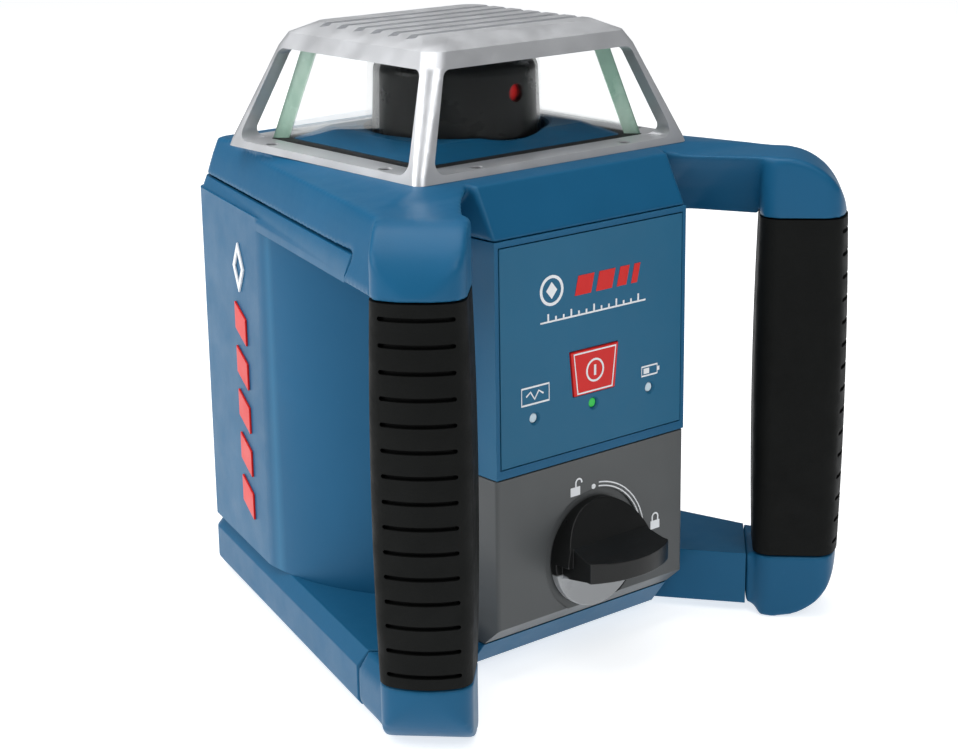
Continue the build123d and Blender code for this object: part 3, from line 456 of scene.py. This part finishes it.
def remoulded(node, weight_at):
    """A CAD node made again as one smooth moulding; weight_at says how far each point may melt."""
    mesh = nodes[node].data.copy()
    piece = link(node + "_skin", mesh, body_of[node], look_of(node))
    remesh = piece.modifiers.new("voxels", "REMESH")
    remesh.mode = "VOXEL"
    remesh.voxel_size = VOXEL
    baked(piece)
    group = piece.vertex_groups.new(name="melt")
    for vertex in piece.data.vertices:
        group.add([vertex.index], weight_at(vertex.co), "REPLACE")
    even = piece.modifiers.new("even", "SMOOTH")
    even.factor = EVEN_FACTOR
    even.iterations = EVEN_PASSES
    melt = piece.modifiers.new("melt", "SMOOTH")
    melt.factor = MELT_FACTOR
    melt.iterations = MELT_PASSES
    melt.vertex_group = group.name
    thin = piece.modifiers.new("thin", "DECIMATE")
    thin.decimate_type = "DISSOLVE"
    thin.angle_limit = THIN_ANGLE
    baked(piece)
    piece.data.shade_smooth()
    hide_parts(node)


def pane(node):
    """A window with clear broad faces, green mitred edges, and a dark seal under and over it."""
    mesh = cleaned(node)
    piece = link(node + "_pane", mesh, body_of[node], materials["glass"])
    mesh.materials.append(materials["glass_edge"])
    mesh.materials.append(materials["seal_rubber"])
    facing = 1 if node in ("window_front", "window_back") else 0
    for face in mesh.polygons:
        cut = 2 if abs(face.normal.z) > BROAD_FACE else 1
        face.material_index = 0 if abs(face.normal[facing]) > BROAD_FACE else cut
    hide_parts(node)


# Printed marks ------------------------------------------------------------------------------

PRINT_THICK = 0.12
PANEL_FACE_Y = -62.1
DRAWER_FACE_Y = -62.0
BUTTON_FACE_Y = -62.6
KNOB_CENTRE = (0.0, 33.8)


def arc_points(centre, radius, start, end, steps=24):
    angles = [math.radians(start + (end - start) * i / steps) for i in range(steps + 1)]
    return [(centre[0] + radius * math.cos(a), centre[1] + radius * math.sin(a)) for a in angles]


def band(points, width, closed=False):
    """Quads that follow a line of (x, z) points, width wide."""
    count = len(points)
    sides = []
    for i, (x, z) in enumerate(points):
        before = points[i - 1] if i or closed else points[i]
        after = points[(i + 1) % count] if i < count - 1 or closed else points[i]
        along = Vector((after[0] - before[0], after[1] - before[1])).normalized()
        across = Vector((-along[1], along[0])) * width / 2
        sides.append(((x + across[0], z + across[1]), (x - across[0], z - across[1])))
    last = count if closed else count - 1
    following = sides[1:] + sides[:1]
    return [[a, b, d, c] for (a, b), (c, d) in list(zip(sides, following))[:last]]


def rectangle(x0, z0, x1, z1):
    return [(x0, z0), (x1, z0), (x1, z1), (x0, z1)]


def slanted(x0, x1, z0, z1, lean):
    return [(x0, z0), (x1, z0), (x1 + lean, z1), (x0 + lean, z1)]


def printed(name, polygons, face_y, body, slot):
    """Thin raised marks on a face that looks along -Y; polygons hold (x, z) corners in mm."""
    shape = bmesh.new()
    for polygon in polygons:
        loops = [[shape.verts.new((x * MM, y * MM, z * MM)) for x, z in polygon]
                 for y in (face_y - PRINT_THICK, face_y + PRINT_THICK)]
        shape.faces.new(loops[0])
        shape.faces.new(loops[1][::-1])
        for i in range(len(polygon)):
            j = (i + 1) % len(polygon)
            shape.faces.new((loops[0][i], loops[0][j], loops[1][j], loops[1][i]))
    bmesh.ops.recalc_face_normals(shape, faces=shape.faces)
    mesh = bpy.data.meshes.new(name)
    shape.to_mesh(mesh)
    shape.free()
    link(name, mesh, body, materials[slot])


def padlock(x, z, shift):
    """Small lock sign; shift moves the shackle sideways to show it open."""
    shackle = [(x - 1.2 + shift, z + 0.8), (x - 1.2 + shift, z + 2.0)]
    shackle += arc_points((x + shift, z + 2.0), 1.2, 180, 0, 8)
    shackle += [(x + 1.2 + shift, z + (0.8 if shift == 0 else 1.8))]
    return [rectangle(x - 1.9, z - 1.9, x + 1.9, z + 0.8)] + band(shackle, 0.5)


def panel_marks():
    ring = band(arc_points((-16.6, 117.4), 4.1, 0, 345), 0.9, closed=True)
    diamond = [[(-18.7, 117.4), (-16.6, 114.9), (-14.5, 117.4), (-16.6, 119.9)]]
    scale = [rectangle(-21, 108.0, 21, 108.5)]
    for x in range(-18, 19, 3):
        tick_top = 110.6 if x % 9 == 0 else 109.6
        scale.append(rectangle(x - 0.3, 108.5, x + 0.3, tick_top))
    case = band(rectangle(-28.4, 84.9, -17.8, 90.0), 0.55, closed=True)
    case += band([(-26.6, 87.4), (-25.0, 88.6), (-23.4, 86.2), (-21.8, 88.6), (-20.0, 87.4)], 0.5)
    cell = band(rectangle(19.7, 84.4, 26.2, 87.3), 0.5, closed=True)
    cell += [rectangle(26.3, 85.2, 27.1, 86.5), rectangle(20.5, 85.0, 22.8, 86.7)]
    printed("panel_print", ring + diamond + scale + case + cell, PANEL_FACE_Y, "housing", "white_plastic")
    spans = [(-7.6, -1.2), (0.8, 7.2), (9.2, 13.0), (15.0, 17.4)]
    stripes = [slanted(x0, x1, 114.2, 120.0, 1.4) for x0, x1 in spans]
    printed("panel_stripes", stripes, PANEL_FACE_Y, "housing", "red_plastic")


def button_marks():
    border = band([(-6.9, 84.4), (6.9, 84.4), (8.4, 96.6), (-8.4, 96.6)], 0.55, closed=True)
    circle = band(arc_points((0, 90.6), 3.3, 0, 345), 0.6, closed=True)
    bar = [rectangle(-0.4, 89.0, 0.4, 92.2)]
    printed("button_print", border + circle + bar, BUTTON_FACE_Y, "power_button", "white_plastic")


def drawer_marks():
    outer = band(arc_points(KNOB_CENTRE, 21.2, 84, 8), 0.4)
    inner = band(arc_points(KNOB_CENTRE, 20.0, 84, 8), 0.4)
    dot = [arc_points((0, 54.0), 0.8, 0, 345, 12)]
    signs = padlock(-7.4, 54.6, 1.4) + padlock(26.0, 36.0, 0)
    printed("drawer_print", outer + inner + dot + signs, DRAWER_FACE_Y, "battery_drawer", "white_plastic")


# Assembly -----------------------------------------------------------------------------------

materials = make_materials()
SOFTENED = {
    "body_shell": 0.8, "base_housing": 0.7,
    "grip_left": 0.3, "grip_right": 0.3, "front_panel": 0.25, "power_button": 0.3, "battery_drawer": 0.8,
    "lock_knob": 0.8, "cage": 0.9, "rotor_skirt": 0.4, "rotor_cap": 0.4, "window_gasket": 0.1,
    "side_bars": 0.2, "side_emblems": 0.2, "rear_feet": 0.6, "rear_label": 0.1, "cage_screws": 0.2,
    "tripod_insert": 0.4, "power_led": 0.3, "shock_led": 0.3, "battery_led": 0.3,
}
REMOULDED = {
    "top_housing": deck_weight,
    "handle_frame_left": foot_weight,
    "handle_frame_right": foot_weight,
}
for node, obj in nodes.items():
    if node in REMOULDED:
        remoulded(node, REMOULDED[node])
    elif node in SOFTENED:
        softened(node, SOFTENED[node] * MM)
    elif slot_of[node] == "glass":
        pane(node)
    else:
        obj.data.materials.clear()
        obj.data.materials.append(look_of(node))
panel_marks()
button_marks()
drawer_marks()

add_floor()
add_lights()
add_camera()
